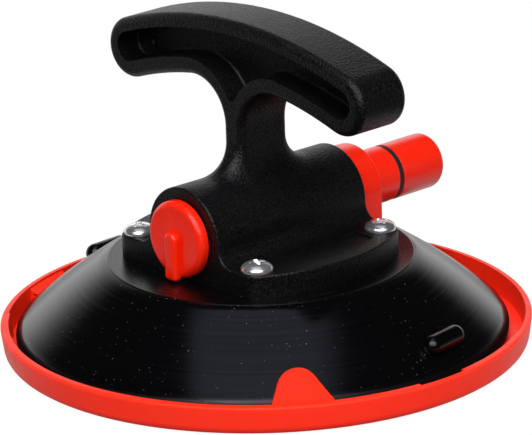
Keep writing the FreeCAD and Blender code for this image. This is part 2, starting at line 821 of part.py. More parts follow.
def plug_seals():
    """Two lathe-cut rings in the plug's grooves."""
    half = seal_groove_width / 2 - fit
    return Part.makeCompound([ring_x(plug_radius - fit, plug_radius - seal_groove_depth + fit,
                                     x - half, x + half) for x in plug_seal_x])


def release_knob():
    """Disc knob with a round-topped finger rib from its centre to its edge."""
    disc = rod_x(knob_radius, knob_front, knob_back)
    disc = rounded(disc, knob_edge_fillet,
                   lambda e: is_circle_across_x(e, knob_radius, knob_front))
    half = knob_rib_width / 2
    face = knob_front - knob_rib_height
    foot = knob_front + knob_edge_fillet
    top = axis_height + knob_rib_start
    bottom = axis_height - knob_radius
    rib = rod_x(half, face, foot, 0, top).fuse(box(face, foot, -half, half, bottom, top))
    rib = rounded(rib.removeSplitter(), knob_rib_fillet,
                  lambda e: near(spans(e).XMax, face) and spans(e).ZMax > bottom + 0.1)
    knob = disc.fuse(rib.common(rod_x(knob_radius, face, foot)))
    side = tang_side / 2 + fit
    socket = box(knob_back - tang_length - fit, knob_back + 1, -side, side,
                 axis_height - side, axis_height + side)
    return knob.cut(socket)


# ---------------------------------------------------------------- ports, valve and filter
def pump_port_gasket():
    return ring_z(pump_gasket_radius - fit, pump_gasket_bore, cup_top - gasket_depth, cup_top,
                  pump_port_x)


def release_port_gasket():
    return ring_z(release_gasket_radius - fit, port_radius, cup_top - gasket_depth, cup_top,
                  release_port_x)


def valve_seat():
    """Disc with a hole for the valve's stem and four air holes round it."""
    top = seat_bottom + seat_thickness
    seat = rod_z(seat_radius - fit, seat_bottom, top)
    hole = rod_z(seat_hole_radius, seat_bottom, top, seat_hole_circle)
    seat = seat.cut([rod_z(seat_stem_hole, seat_bottom, top)]
                    + [turned(angle, hole) for angle in (45, 135, 225, 315)])
    seat.translate(V(pump_port_x, 0, 0))
    return seat


def check_valve():
    """Umbrella of soft rubber: a thin cap over the seat's holes, held by its own stem."""
    top = seat_bottom + seat_thickness
    edge = V(umbrella_radius, 0, top)
    crown = V(0, 0, top + umbrella_height)
    shoulder = V(umbrella_radius * 0.6, 0, top + umbrella_height * 0.7)
    middle = V(0, 0, top)
    cap = revolved([arc(crown, shoulder, edge), line(edge, middle), line(middle, crown)])
    low = seat_bottom - umbrella_bulb_height
    valve = cap.fuse([rod_z(umbrella_stem, low, top), rod_z(umbrella_bulb, low, seat_bottom)])
    valve.translate(V(pump_port_x, 0, 0))
    return valve


def filter_disc():
    top = cup_hub_underside + filter_recess
    return rod_z(filter_radius - filter_slack, top - filter_thickness, top, pump_port_x)


def filter_retainer():
    """Pressed-in ring with a cross that keeps the filter disc in its recess."""
    top = cup_hub_underside + filter_recess - filter_thickness
    outer = filter_radius - fit
    inner = outer - filter_ring_width
    reach = (outer + inner) / 2
    ring = ring_z(outer, inner, cup_hub_underside, top)
    bar = box(-reach, reach, -filter_bar_half, filter_bar_half, cup_hub_underside, top)
    ring = ring.fuse([bar, turned(90, bar)]).removeSplitter()
    ring.translate(V(pump_port_x, 0, 0))
    return ring


# ---------------------------------------------------------------- write the pieces
def main():
    pieces = {
        "handle_housing": handle_housing(),
        "vacuum_cup": vacuum_cup(),
        "mounting_plate": mounting_plate(),
        "flange_screws": flange_screws(),
        "pump_port_gasket": pump_port_gasket(),
        "release_port_gasket": release_port_gasket(),
        "valve_seat": valve_seat(),
        "check_valve": check_valve(),
        "filter_disc": filter_disc(),
        "filter_retainer": filter_retainer(),
        "cylinder_liner": cylinder_liner(),
        "end_collar": end_collar(),
        "wiper_ring": wiper_ring(),
        "stop_bumper": stop_bumper(),
        "spring_guide": spring_guide(),
        "return_spring": return_spring(),
        "retaining_pins": retaining_pins(),
        "plunger": plunger(),
        "indicator_band": indicator_band(),
        "piston_seal": piston_seal(),
        "seal_retainer": seal_retainer(),
        "valve_plug": valve_plug(),
        "plug_seals": plug_seals(),
        "release_knob": release_knob(),
        "protective_cover": protective_cover(),
    }
    os.makedirs("parts", exist_ok=True)
    for name, shape in pieces.items():
        shape.exportStep("parts/" + name + ".step")
        print(name, "solids", len(shape.Solids), "valid", shape.isValid(),
              "volume", round(shape.Volume, 1))


main()
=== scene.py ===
import bpy
import bmesh
import json
import math
from mathutils import Matrix, Vector


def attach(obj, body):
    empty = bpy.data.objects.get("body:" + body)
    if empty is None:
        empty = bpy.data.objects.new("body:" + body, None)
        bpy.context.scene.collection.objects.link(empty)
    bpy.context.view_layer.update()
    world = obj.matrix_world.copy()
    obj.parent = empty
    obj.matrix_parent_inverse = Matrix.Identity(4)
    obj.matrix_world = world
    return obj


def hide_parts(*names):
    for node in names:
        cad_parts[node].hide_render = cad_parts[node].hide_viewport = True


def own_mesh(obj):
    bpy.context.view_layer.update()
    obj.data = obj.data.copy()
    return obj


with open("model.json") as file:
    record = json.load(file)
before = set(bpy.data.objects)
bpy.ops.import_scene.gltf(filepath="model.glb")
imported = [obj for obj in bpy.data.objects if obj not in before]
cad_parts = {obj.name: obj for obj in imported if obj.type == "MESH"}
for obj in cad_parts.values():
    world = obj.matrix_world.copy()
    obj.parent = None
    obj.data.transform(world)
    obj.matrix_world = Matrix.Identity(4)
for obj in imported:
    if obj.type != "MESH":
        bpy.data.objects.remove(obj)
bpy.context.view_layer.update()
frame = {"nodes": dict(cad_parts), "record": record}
nodes = frame["nodes"]
MM = 0.001                   # in metres

# ---------------------------------------------------------------- sizes, in millimetres
axis_height = 41.6           # pump axis
cup_top = 28.6
hollow_top = 15.5            # the rubber's inner ceiling
flange_top = 35.8
bow_drop = 15.476            # the centre of the flange's bowed side lies this far beyond the axis
screw_x, screw_y = 26.0, 26.5                # the screws stand at plus and minus these

# the loose cover, which stands a little off the cup's axis; directions are in degrees
cover_shift = Vector((0.86, -0.78, 0.0))
cover_height = 9.2
tongue_height = 10.1
thin_wall = (-60.3, 133.4)
grip_notch = (-98.9, -86.5)
lug_middle, lug_half = 108.5, 7.0            # one of two opposite lugs, and half its width


# ---------------------------------------------------------------- colours and nodes
def linear(hex_colour):
    """An sRGB hex colour as linear RGBA."""
    def one(channel):
        c = channel / 255
        return c / 12.92 if c <= 0.04045 else ((c + 0.055) / 1.055) ** 2.4
    value = hex_colour.lstrip("#")
    return tuple(one(int(value[i:i + 2], 16)) for i in (0, 2, 4)) + (1.0,)


def add_node(tree, kind, inputs=None, **settings):
    """Adds a node.  An input is a plain value, or a socket that it is linked from."""
    new = tree.nodes.new(kind)
    for name, value in settings.items():
        setattr(new, name, value)
    for name, value in (inputs or {}).items():
        if isinstance(value, bpy.types.NodeSocket):
            tree.links.new(value, new.inputs[name])
        else:
            new.inputs[name].default_value = value
    return new


def maths(tree, operation, *values):
    """The result of one sum on values or sockets."""
    return add_node(tree, "ShaderNodeMath", dict(enumerate(values)),
                    operation=operation).outputs[0]


def spread(tree, value, start, end, low, high, kind="LINEAR"):
    """Runs from low to high while the value runs from start to end, and no further."""
    return add_node(tree, "ShaderNodeMapRange",
                    {"Value": value, "From Min": start, "From Max": end, "To Min": low,
                     "To Max": high}, interpolation_type=kind).outputs["Result"]


def fade(tree, value, start, end, low, high):
    """The same with soft ends."""
    return spread(tree, value, start, end, low, high, "SMOOTHSTEP")


def length(tree, vector):
    """How long a vector is."""
    return add_node(tree, "ShaderNodeVectorMath", {0: vector},
                    operation="LENGTH").outputs["Value"]


def along(tree, place, way):
    """How far a place lies in a direction."""
    return add_node(tree, "ShaderNodeVectorMath", {0: place, 1: way},
                    operation="DOT_PRODUCT").outputs["Value"]


def noise(tree, place, scale, detail, distortion=0.0):
    """Soft random spots, from 0 to 1."""
    return add_node(tree, "ShaderNodeTexNoise",
                    {"Vector": place, "Scale": scale, "Detail": detail,
                     "Distortion": distortion}).outputs["Fac"]


def two_tones(tree, factor, dark, light, start=0.0, end=1.0):
    """A colour that goes from dark to light while the factor goes from start to end."""
    ramp = add_node(tree, "ShaderNodeValToRGB", {"Fac": factor})
    stops = ramp.color_ramp.elements
    stops[0].position, stops[1].position = start, end
    stops[0].color, stops[1].color = linear(dark), linear(light)
    return ramp.outputs["Color"]


def relief(tree, height, strength, depth):
    """The normal of a relief that is so many millimetres deep."""
    return add_node(tree, "ShaderNodeBump", {"Height": height, "Strength": strength,
                                             "Distance": depth * MM}).outputs["Normal"]


def millimetres(size):
    """A texture scale at which one cell of the pattern is that many millimetres."""
    return 1.0 / (size * MM)


def new_material(name):
    """An empty node material: the material, its tree and its Object coordinates."""
    material = bpy.data.materials.new(name)
    material.use_nodes = True
    tree = material.node_tree
    tree.nodes.clear()
    place = add_node(tree, "ShaderNodeTexCoord").outputs["Object"]
    return material, tree, place


def coated(material, tree, sockets):
    """Closes the material with a principled shader that has these sockets."""
    shader = add_node(tree, "ShaderNodeBsdfPrincipled", sockets)
    add_node(tree, "ShaderNodeOutputMaterial", {"Surface": shader.outputs["BSDF"]})
    return material


# ---------------------------------------------------------------- materials
def grained_abs_black():
    """Black ABS moulded in a spark-eroded tool: fine pebbled grain with a low satin sheen."""
    material, tree, place = new_material("grained_black_ABS")
    # spark grain is about 0.1 mm; drawn at 0.5 mm so that it shows
    grain = noise(tree, place, millimetres(0.5), 2.0)
    pebble = add_node(tree, "ShaderNodeTexVoronoi",
                      {"Vector": place, "Scale": millimetres(0.7)}).outputs["Distance"]
    # the grain scatters part of the sheen, so it is weaker than on polished ABS
    glint = spread(tree, grain, 0.35, 0.65, 0.21, 0.51)
    return coated(material, tree, {
        "Base Color": two_tones(tree, grain, "#020203", "#0a0a0b", 0.35, 0.7),
        "Roughness": spread(tree, grain, 0.3, 0.7, 0.28, 0.56),
        "Normal": relief(tree, maths(tree, "ADD", grain, pebble), 1.0, 0.12),
        "IOR": 1.52, "Specular IOR Level": glint})


def satin_rubber_black():
    """Vulcanised black rubber from a turned and polished tool: deep black with a soft
    mirror-like gloss, the tool's fine rings, and a few specks of dust that it holds on to."""
    material, tree, place = new_material("satin_black_rubber")
    x, y, z = add_node(tree, "ShaderNodeSeparateXYZ", {"Vector": place}).outputs
    radius = length(tree, add_node(tree, "ShaderNodeCombineXYZ", {"X": x, "Y": y}).outputs[0])
    ringed = add_node(tree, "ShaderNodeCombineXYZ", {"X": radius, "Y": z})
    rings = noise(tree, ringed.outputs[0], millimetres(0.9), 3.0)
    gloss = spread(tree, rings, 0.3, 0.7, 0.11, 0.2)
    # the trimmed lip is matt, and the top disc is duller than the flank
    lip_rough = 0.55
    lip = spread(tree, radius, 75.0 * MM, 75.9 * MM, 0.0, lip_rough)
    disc = spread(tree, radius, 47.0 * MM, 48.5 * MM, 0.14, 0.0)
    rough = maths(tree, "ADD", gloss, maths(tree, "ADD", disc, lip))
    # the rings show as streaks of stronger and weaker sheen
    sheen = spread(tree, lip, 0.0, lip_rough, 0.42, 0.1)
    streaked = maths(tree, "MULTIPLY", sheen, spread(tree, rings, 0.3, 0.7, 0.8, 1.22))
    # a cell of dust is a dot whose size and strength are the cell's own chance
    specks = add_node(tree, "ShaderNodeTexVoronoi",
                      {"Vector": place, "Scale": millimetres(0.9)}).outputs
    chance = add_node(tree, "ShaderNodeSeparateColor", {"Color": specks["Color"]}).outputs
    dust = maths(tree, "LESS_THAN", specks["Distance"],
                 maths(tree, "MULTIPLY", chance[0], 0.14))
    shown = maths(tree, "MULTIPLY", dust, spread(tree, chance[1], 0.5, 1.0, 0.0, 1.0))
    tone = add_node(tree, "ShaderNodeMixRGB",
                    {"Fac": shown, "Color1": linear("#030304"), "Color2": linear("#85878b")})
    return coated(material, tree, {
        "Base Color": tone.outputs["Color"], "Roughness": rough,
        "Normal": relief(tree, rings, 0.25, 0.02), "IOR": 1.5,
        "Specular IOR Level": streaked})


def nitrile_black():
    """Moulded nitrile rubber: charcoal black and nearly matt, with a faint bloom."""
    material, tree, place = new_material("matt_nitrile_rubber")
    bloom = noise(tree, place, millimetres(1.5), 3.0)
    return coated(material, tree, {
        "Base Color": two_tones(tree, bloom, "#101011", "#1e1e1f"), "Roughness": 0.6,
        "IOR": 1.5})


def glossy_abs_red():
    """Signal-red ABS from a polished tool: even colour under a clear gloss, with slight
    flow lines from moulding."""
    material, tree, place = new_material("glossy_red_ABS")
    stretched = add_node(tree, "ShaderNodeMapping",
                         {"Vector": place, "Scale": (0.3, 1.0, 1.0)}).outputs["Vector"]
    flow = noise(tree, stretched, millimetres(5.0), 2.0)
    return coated(material, tree, {
        "Base Color": two_tones(tree, flow, "#dd1a00", "#e61f02"),
        "Roughness": spread(tree, flow, 0.3, 0.7, 0.2, 0.3), "IOR": 1.52})


def satin_polyethylene_red():
    """Red polyethylene: waxy satin surface that lets a little light in at thin edges."""
    material, tree, place = new_material("satin_red_polyethylene")
    wax = noise(tree, place, millimetres(6.0), 3.0)
    return coated(material, tree, {
        "Base Color": two_tones(tree, wax, "#f42a12", "#fb2e15"),
        "Roughness": spread(tree, wax, 0.3, 0.7, 0.36, 0.46), "IOR": 1.51,
        "Specular IOR Level": 0.3, "Subsurface Weight": 0.12,
        "Subsurface Radius": (1.5 * MM, 0.4 * MM, 0.2 * MM), "Subsurface Scale": 1.0})


def natural_acetal():
    """Unpigmented acetal: milky white, smooth, a little waxy."""
    material, tree, place = new_material("natural_acetal")
    milk = noise(tree, place, millimetres(3.0), 2.0)
    return coated(material, tree, {
        "Base Color": two_tones(tree, milk, "#dcdad2", "#e8e6df"), "Roughness": 0.4,
        "IOR": 1.48})


def pressed_felt():
    """Needled polyester felt, cut in a disc: off-white and matt, with matted fibres."""
    material, tree, place = new_material("pressed_filter_felt")
    fibres = noise(tree, place, millimetres(0.5), 6.0, distortion=3.0)
    return coated(material, tree, {
        "Base Color": two_tones(tree, fibres, "#b9b4a6", "#e3dfd3"), "Roughness": 0.95,
        "Normal": relief(tree, fibres, 0.8, 0.2), "Sheen Weight": 0.3})


def metal(name, dark, light, rough, grain, metallic=1.0):
    """A bare or plated metal.  grain is the size of its surface marks along X, Y and Z, so a
    drawn or turned part gets streaks along its own direction and a plated one even spots."""
    material, tree, place = new_material(name)
    sized = add_node(tree, "ShaderNodeMapping",
                     {"Vector": place, "Scale": tuple(millimetres(size) for size in grain)})
    marks = noise(tree, sized.outputs["Vector"], 1.0, 3.0)
    return coated(material, tree, {
        "Base Color": two_tones(tree, marks, dark, light), "Metallic": metallic,
        "Roughness": spread(tree, marks, 0.3, 0.7, rough * 0.75, rough * 1.25),
        "Normal": relief(tree, marks, 0.1, 0.02)})


# ---------------------------------------------------------------- stage
# the studio lies about the shot's own directions: towards the camera, and to its right
shot_azimuth = math.radians(-42.67)
towards = Vector((math.sin(shot_azimuth), -math.cos(shot_azimuth), 0.0))
rightwards = Vector((math.cos(shot_azimuth), math.sin(shot_azimuth), 0.0))
upwards = Vector((0.0, 0.0, 1.0))


def in_scene(name, data):
    """An object for this mesh, lamp or camera, put in the scene."""
    thing = bpy.data.objects.new(name, data)
    bpy.context.scene.collection.objects.link(thing)
    return thing


def light_of(tree, kind, strength, colour="#ffffff"):
    """A shader of the given kind, Emission or Background, that gives light."""
    return add_node(tree, "ShaderNode" + kind,
                    {"Color": linear(colour), "Strength": strength}).outputs[0]


def mixed(tree, factor, first, second):
    """The first shader at factor 0, and the second at 1."""
    return add_node(tree, "ShaderNodeMixShader", {0: factor, 1: first, 2: second}).outputs[0]


def studio():
    """A world of one plain light for matt surfaces.  Gloss meets a white wall behind the
    object, darkness in front of it, a soft panel overhead, a card and three small lamps."""
    world = bpy.data.worlds.new("pale_studio")
    bpy.context.scene.world = world
    world.use_nodes = True
    tree = world.node_tree
    tree.nodes.clear()
    way = add_node(tree, "ShaderNodeLightPath").outputs
    place = add_node(tree, "ShaderNodeTexCoord").outputs["Generated"]
    height = add_node(tree, "ShaderNodeSeparateXYZ", {"Vector": place}).outputs["Z"]
    front = along(tree, place, towards)
    side = along(tree, place, rightwards)
    aside = maths(tree, "ABSOLUTE", side)
    slope = maths(tree, "MULTIPLY_ADD", aside, 0.6, height)
    slope = maths(tree, "MULTIPLY_ADD", side, 0.12, slope)
    wall = maths(tree, "MULTIPLY", fade(tree, slope, 0.36, 0.82, 1.1, 0.0),
                 fade(tree, front, -0.60, -0.20, 1.0, 0.0))
    shiny_light = maths(tree, "ADD", wall, 0.012)
    # the panel hangs over the object and reaches out towards the camera
    hang = maths(tree, "MULTIPLY_ADD", front, 0.3, height)
    panel = fade(tree, side, -0.38, -0.32, 0.0, 1.0)
    for edge in (fade(tree, side, 0.24, 0.42, 1.0, 0.0), fade(tree, hang, 0.80, 0.92, 0.0, 1.0),
                 fade(tree, front, 0.1, 0.5, 0.53, 0.95)):
        panel = maths(tree, "MULTIPLY", panel, edge)
    # a white card stands behind the camera, where hardly anything but bright metal meets it
    card = maths(tree, "MULTIPLY", fade(tree, aside, 0.45, 0.65, 1.0, 0.0),
                 fade(tree, front, 0.3, 0.5, 0.0, 2.2))
    card = maths(tree, "MULTIPLY", card, fade(tree, height, 0.2, 0.4, 0.0, 1.0))
    shiny_light = maths(tree, "ADD", shiny_light, card)
    # three small lamps over the camera's left shoulder
    for lean, turn, power in ((38, -38, 4.5), (55, -22, 5.5), (47, 4, 4.5)):
        lean, turn = math.radians(lean), math.radians(turn)
        way_to = ((towards * math.cos(turn) + rightwards * math.sin(turn)) * math.cos(lean)
                  + upwards * math.sin(lean))
        lamp = fade(tree, along(tree, place, way_to), 0.9945, 0.9982, 0.0, power)
        shiny_light = maths(tree, "ADD", shiny_light, lamp)
    shiny = add_node(tree, "ShaderNodeAddShader",
                     {0: light_of(tree, "Background", shiny_light),
                      1: light_of(tree, "Background", panel, "#e6ebff")}).outputs[0]
    unseen = mixed(tree, way["Is Glossy Ray"], light_of(tree, "Background", 0.45), shiny)
    seen = light_of(tree, "Background", 1.0)
    add_node(tree, "ShaderNodeOutputWorld",
             {"Surface": mixed(tree, way["Is Camera Ray"], unseen, seen)})


def area_light(name, place, aim, size, watts):
    """A soft box that lights the object and stays out of its gloss."""
    lamp = bpy.data.lights.new(name, "AREA")
    lamp.shape = "RECTANGLE"
    lamp.size = lamp.size_y = size
    lamp.energy = watts
    holder = in_scene(name, lamp)
    holder.location = place
    holder.visible_glossy = False
    holder.rotation_mode = "QUATERNION"
    holder.rotation_quaternion = (Vector(aim) - Vector(place)).to_track_quat("-Z", "Y")


def pale_floor():
    """A wide floor just under the cover.  It is white where it is seen, with the object's
    shadow on it, and grey where it lights the object."""
    half, low = 3.0, -0.1 * MM
    mesh = bpy.data.meshes.new("floor")
    mesh.from_pydata([(-half, -half, low), (half, -half, low), (half, half, low),
                      (-half, half, low)], [], [(0, 1, 2, 3)])
    floor = in_scene("floor", mesh)
    material, tree, place = new_material("pale_floor")
    way = add_node(tree, "ShaderNodeLightPath").outputs
    shade = add_node(tree, "ShaderNodeMixRGB",
                     {"Fac": way["Is Camera Ray"], "Color1": linear("#949494"),
                      "Color2": linear("#f4f4f4")})
    paint = add_node(tree, "ShaderNodeBsdfDiffuse", {"Color": shade.outputs["Color"]})
    # in gloss the floor is bright behind the object and close beside it, and dark in front
    front = along(tree, place, towards)
    close_by = maths(tree, "MULTIPLY", fade(tree, length(tree, place), 0.08, 0.2, 0.6, 0.0),
                     fade(tree, front, 0.02, 0.09, 1.0, 0.1))
    sheen = maths(tree, "ADD", close_by, fade(tree, front, -0.35, 0.05, 0.7, 0.02))
    mirrored = mixed(tree, way["Is Glossy Ray"], paint.outputs[0],
                     light_of(tree, "Emission", sheen))
    # to the camera it glows by itself, apart from the small share that takes the shadow
    glowing = maths(tree, "MULTIPLY", way["Is Camera Ray"], 0.95)
    add_node(tree, "ShaderNodeOutputMaterial",
             {"Surface": mixed(tree, glowing, mirrored, light_of(tree, "Emission", 1.0))})
    mesh.materials.append(material)


def camera():
    """Long lens, a little above the object, turned slightly about its own axis."""
    elevation, roll = math.radians(18.45), math.radians(-1.70)
    distance = 1.2313
    # the aim lies a little right of the axis of the cup
    aim = Vector((0.0, 0.0, 0.04003)) + rightwards * 0.00203
    back = towards * math.cos(elevation) + upwards * math.sin(elevation)
    up = back.cross(rightwards)
    right = rightwards * math.cos(roll) + up * math.sin(roll)
    above = up * math.cos(roll) - rightwards * math.sin(roll)
    shot = bpy.data.cameras.new("camera")
    shot.lens = 270.7
    shot.sensor_width = 36.0
    shot.clip_start = 0.1
    shot.clip_end = 20.0
    holder = in_scene("camera", shot)
    turn = Matrix((right, above, back)).transposed().to_4x4()
    holder.matrix_world = Matrix.Translation(aim + back * distance) @ turn
    bpy.context.scene.camera = holder


# ---------------------------------------------------------------- mesh helpers
along_pump = Matrix.Translation((0, 0, axis_height)) @ Matrix.Rotation(math.radians(90), 4, "Y")
skin_weld = 0.0005           # points of a skin that are closer than this become one


def on_circle(radius, turns, centre=(0.0, 0.0)):
    """Points on a circle at these angles in radians."""
    x, y = centre
    return [(x + radius * math.cos(turn), y + radius * math.sin(turn)) for turn in turns]


def rounded_line(corners, steps):
    """A closed outline from corners (x, y, radius), each rounded to its radius."""
    points = []
    for i, (x, y, radius) in enumerate(corners):
        here = Vector((x, y))
        if radius == 0:
            points.append(here)
            continue
        before = (Vector(corners[i - 1][:2]) - here).normalized()
        after = (Vector(corners[(i + 1) % len(corners)][:2]) - here).normalized()
        half = before.angle(after) / 2
        centre = here + (before + after).normalized() * (radius / math.sin(half))
        first = here + before * (radius / math.tan(half)) - centre
        last = here + after * (radius / math.tan(half)) - centre
        start = math.atan2(first.y, first.x)
        sweep = (math.atan2(last.y, last.x) - start + math.pi) % math.tau - math.pi
        for step in range(steps + 1):
            angle = start + sweep * step / steps
            points.append(centre + Vector((math.cos(angle), math.sin(angle))) * radius)
    return [tuple(point) for point in points]


def turned_rows(rows, closed=False):
    """A skin turned about Z.  A row is an angle and the section there, whose points (radius,
    height) go from axis to axis, or all the way round if it is closed."""
    skin = bmesh.new()
    lines = []
    for angle, section in rows:
        c, s = math.cos(angle), math.sin(angle)
        lines.append([skin.verts.new((r * c, r * s, z)) for r, z in section])
    for near, far in zip(lines, lines[1:] + lines[:1]):
        edges = range(len(near)) if closed else range(len(near) - 1)
        for i in edges:
            j = (i + 1) % len(near)
            skin.faces.new((near[i], far[i], far[j], near[j]))
    bmesh.ops.remove_doubles(skin, verts=skin.verts, dist=skin_weld)
    bmesh.ops.recalc_face_normals(skin, faces=skin.faces)
    return skin


def turned(section, count, closed=False):
    """A skin with the same section all the way round, in so many steps."""
    return turned_rows([(math.tau * i / count, section) for i in range(count)], closed)


def cylinder(radius, low, high, count):
    """A bar about Z between two heights, with so many sides."""
    return turned([(0, low), (radius, low), (radius, high), (0, high)], count)


def ring_faces(skin, low, high):
    """Faces between two loops of points that lie over each other."""
    for i in range(len(low)):
        j = (i + 1) % len(low)
        skin.faces.new((low[i], low[j], high[j], high[i]))
    bmesh.ops.recalc_face_normals(skin, faces=skin.faces)
    return skin


def prism(outline, low, high):
    """A closed block with the same outline at two heights."""
    skin = bmesh.new()
    bottom = [skin.verts.new((x, y, low)) for x, y in outline]
    top = [skin.verts.new((x, y, high)) for x, y in outline]
    skin.faces.new(bottom)
    skin.faces.new(top)
    return ring_faces(skin, bottom, top)


def as_object(name, skin):
    """An object that is made of a skin, in metres."""
    mesh = bpy.data.meshes.new(name)
    skin.to_mesh(mesh)
    skin.free()
    return in_scene(name, mesh)


def solid(name, skin, place=Matrix()):
    """An object from a skin in millimetres, put in its place."""
    skin.transform(Matrix.Scale(MM, 4) @ place)
    return as_object(name, skin)


def welded_copy(name, node, weld):
    """A copy of a CAD node's mesh, in which points closer than weld millimetres are one."""
    skin = bmesh.new()
    skin.from_mesh(nodes[node].data)
    skin.transform(nodes[node].matrix_world)
    bmesh.ops.remove_doubles(skin, verts=skin.verts, dist=weld * MM)
    return as_object(name, skin)


def settle(thing):
    """Turns what the modifiers make into the object's own mesh."""
    bpy.context.view_layer.update()
    made = bpy.data.meshes.new_from_object(
        thing.evaluated_get(bpy.context.evaluated_depsgraph_get()))
    thing.modifiers.clear()
    thing.data = made
    made.name = thing.name
    return thing


def combined(thing, tool, operation):
    """The object joined with, or cut by, a tool, which is then removed."""
    step = thing.modifiers.new("combine", "BOOLEAN")
    step.operation = operation
    step.solver = "EXACT"
    step.object = tool
    settle(thing)
    bpy.data.objects.remove(tool)


def bevelled(thing, width, segments, angle):
    """Rounds the edges that are sharper than an angle in degrees."""
    step = thing.modifiers.new("edges", "BEVEL")
    step.width = width * MM
    step.segments = segments
    step.limit_method = "ANGLE"
    step.angle_limit = math.radians(angle)
    step.harden_normals = False
    return settle(thing)


def even_shading(thing, angle):
    """Smooth shading up to an angle, led by the larger faces so that flats stay flat."""
    for polygon in thing.data.polygons:
        polygon.use_smooth = True
    thing.data.set_sharp_from_angle(angle=math.radians(angle))
    step = thing.modifiers.new("shading", "WEIGHTED_NORMAL")
    step.keep_sharp = True
    settle(thing)


def finished(thing, body, replaced, slot):
    """Gives a piece the material of its slot, sets it on its body, and hides the CAD node that it
    replaces.
    """
    thing.data.materials.clear()
    thing.data.materials.append(finishes[slot])
    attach(thing, body)
    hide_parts(replaced)


# ---------------------------------------------------------------- protective cover
def cover_section(direction):
    """The cover's section at a direction in degrees: floor, rounded foot, wall and rim."""
    floor, foot_outer, rim_outer = 2.0, 81.3, 82.5
    ledge, lug_top, notch_floor = 5.7, 6.8, 8.4
    lug_inner, notch_inner = 77.9, 81.3
    thin = thin_wall[0] < direction < thin_wall[1]
    notched = grip_notch[0] < direction < grip_notch[1]
    lug = abs((direction - lug_middle + 90) % 180 - 90) < lug_half
    foot_inner, rim_inner = (79.9, 80.4) if thin else (79.0, 79.9)

    def wall(z):
        return foot_inner + (rim_inner - foot_inner) * (z - floor) / (cover_height - floor)

    # a lug and the notch step in or out at their own level, so each level has two points
    inside = []
    for z in (ledge, lug_top, notch_floor):
        below = lug_inner if lug and z <= lug_top else wall(z)
        above = (lug_inner if lug and z < lug_top
                 else notch_inner if notched and z == notch_floor else wall(z))
        inside += [(above, z), (below, z)]
    top = notch_inner if notched else rim_inner
    foot = lug_inner if lug else foot_inner
    outside = rounded_line([(0, 0, 0), (foot_outer, 0, 3.0), (rim_outer, cover_height, 0.9),
                            (top, cover_height, 0.12), (foot, floor, 0)], 6)
    return outside[:-1] + inside[::-1] + [(foot, floor), (0, floor)]


def tongue_skin():
    """Pull tongue: a flat plate with straight sides and a round tip."""
    half, root, thick, radius, shift = 9.3, -3.0, 1.8, 6.5, -1.4
    centre = Vector((shift, tongue_height - radius))

    def touch(corner, side):
        """The angle at which a straight side from a corner meets the round tip."""
        way = corner - centre
        return math.atan2(way.y, way.x) + side * math.acos(radius / way.length)

    left, right = Vector((-half, 0)), Vector((half, 0))
    start, end = touch(left, -1) % math.tau, touch(right, 1)
    outline = [Vector((-half, root)), left]
    outline += [centre + Vector((math.cos(a), math.sin(a))) * radius
                for a in (start + (end - start) * i / 28 for i in range(29))]
    outline += [right, Vector((half, root))]
    skin = prism(outline, 0.0, thick)
    bmesh.ops.triangulate(skin, faces=[f for f in skin.faces if len(f.verts) > 4])
    return skin


def bent_along_rim(plate):
    """Slices the flat tongue, and bends it round the rim with a slight inward lean."""
    rim, direction, lean = 80.2, math.radians(-125.3), 1.2
    skin = bmesh.new()
    skin.from_mesh(plate.data)
    # a cut at every millimetre of its width lets it bend
    for step in range(-9, 10):
        bmesh.ops.bisect_plane(skin, geom=skin.verts[:] + skin.edges[:] + skin.faces[:],
                               plane_co=(step * MM, 0, 0), plane_no=(1, 0, 0))
    for vertex in skin.verts:
        across, height, depth = vertex.co / MM
        angle = direction + across / rim
        radius = rim - depth - lean * height / tongue_height
        place = Vector((radius * math.cos(angle), radius * math.sin(angle),
                        cover_height + height))
        vertex.co = (place + cover_shift) * MM
    bmesh.ops.recalc_face_normals(skin, faces=skin.faces)
    skin.to_mesh(plate.data)
    skin.free()
    return plate


def protective_cover():
    """Shallow dish with lugs, a notch, and a pull tongue on its rim."""
    lugs = [middle + end for middle in (lug_middle, lug_middle - 180)
            for end in (-lug_half, lug_half)]
    steps, gap = 240, 0.01
    turns = [-180 + 360 * i / steps for i in range(steps)]
    for edge in [*thin_wall, *grip_notch, *lugs]:
        turns += [edge - gap, edge + gap]
    angles = [math.radians(turn) for turn in sorted(turns)]
    skin = turned_rows([(angle, cover_section(math.degrees(angle))) for angle in angles])
    cover = solid("cover", skin, Matrix.Translation(cover_shift))
    tongue = bevelled(solid("tongue", tongue_skin()), 0.35, 4, 60)
    combined(cover, bent_along_rim(tongue), "UNION")
    even_shading(cover, 40)
    finished(cover, "cover", "protective_cover", "cover_plastic")


# ---------------------------------------------------------------- rubber cup
def bowed_line(start, run, bow, steps):
    """Points along a run from the start, which bows upwards by so much."""
    up = Vector((-run.y, run.x)).normalized()
    if up.y < 0:
        up = -up
    shares = [step / steps for step in range(1, steps + 1)]
    return [tuple(start + run * t + up * (4 * bow * t * (1 - t))) for t in shares]


